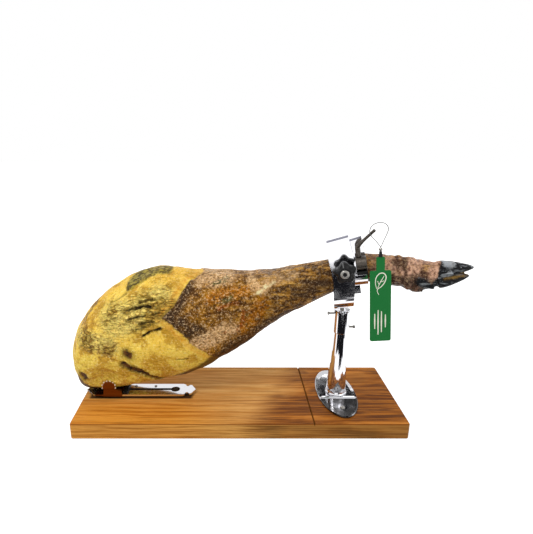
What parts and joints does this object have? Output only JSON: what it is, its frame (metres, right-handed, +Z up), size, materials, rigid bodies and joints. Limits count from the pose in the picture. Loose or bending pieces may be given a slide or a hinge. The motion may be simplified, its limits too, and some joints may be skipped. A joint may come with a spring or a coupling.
{
  "type": "cured ham on a carving stand",
  "caption": "Whole bone-in cured ham with a dark hoof, its shank clamped in a tilting chrome head on a column, its butt on a toothed rest, over a flat wooden board.",
  "frame": {"origin": "centre of the board's underside", "axes": "+X along the board towards the hoof, +Y to the back of the stand, +Z up"},
  "size_m": [0.7171, 0.2149, 0.3834],
  "materials": {
    "board_wood": "oiled, straight grain",
    "stand_chrome": "polished",
    "fastener_steel": "dull",
    "black_plastic": "satin",
    "tag_plastic": "satin, pale printed motif",
    "ham_skin": "dried skin and fat, semi-gloss"
  },
  "bodies": {
    "stand": {"board": "board_wood", "foot_plate": "stand_chrome", "plate_screw_front": "fastener_steel", "plate_screw_rear": "fastener_steel", "column": "stand_chrome", "sleeve": "stand_chrome", "set_screw_upper": "fastener_steel", "set_screw_lower": "fastener_steel", "ears": "stand_chrome", "pivot_bolt": "fastener_steel", "yoke": "stand_chrome", "cradle": "stand_chrome", "cradle_bracket": "stand_chrome", "barrel": "fastener_steel", "barrel_block": "black_plastic", "strip": "stand_chrome", "strip_screw_rear": "fastener_steel", "strip_screw_front": "fastener_steel", "toothed_support": "stand_chrome", "slider_lock": "black_plastic", "ham": "ham_skin"},
    "knob": {"clamp_screw": "fastener_steel", "knob": "black_plastic", "knob_cap": "fastener_steel"},
    "handle": {"handle": "fastener_steel", "tag": "tag_plastic", "tag_ferrule": "black_plastic", "tag_clasp": "fastener_steel", "tag_loop": "fastener_steel"}
  },
  "joints": [
    {"name": "knob_turn", "type": "hinge", "parent": "stand", "child": "knob", "pos_m": [0.17764, -0.0482, 0.29756], "axis": [-0.2419, -0.9703, 0], "continuous": true},
    {"name": "handle_turn", "type": "hinge", "parent": "stand", "child": "handle", "pos_m": [0.19832, -0.04954, 0.32171], "axis": [0.1934, -0.0482, -0.9799], "range_deg": [-35, 35]}
  ]
}
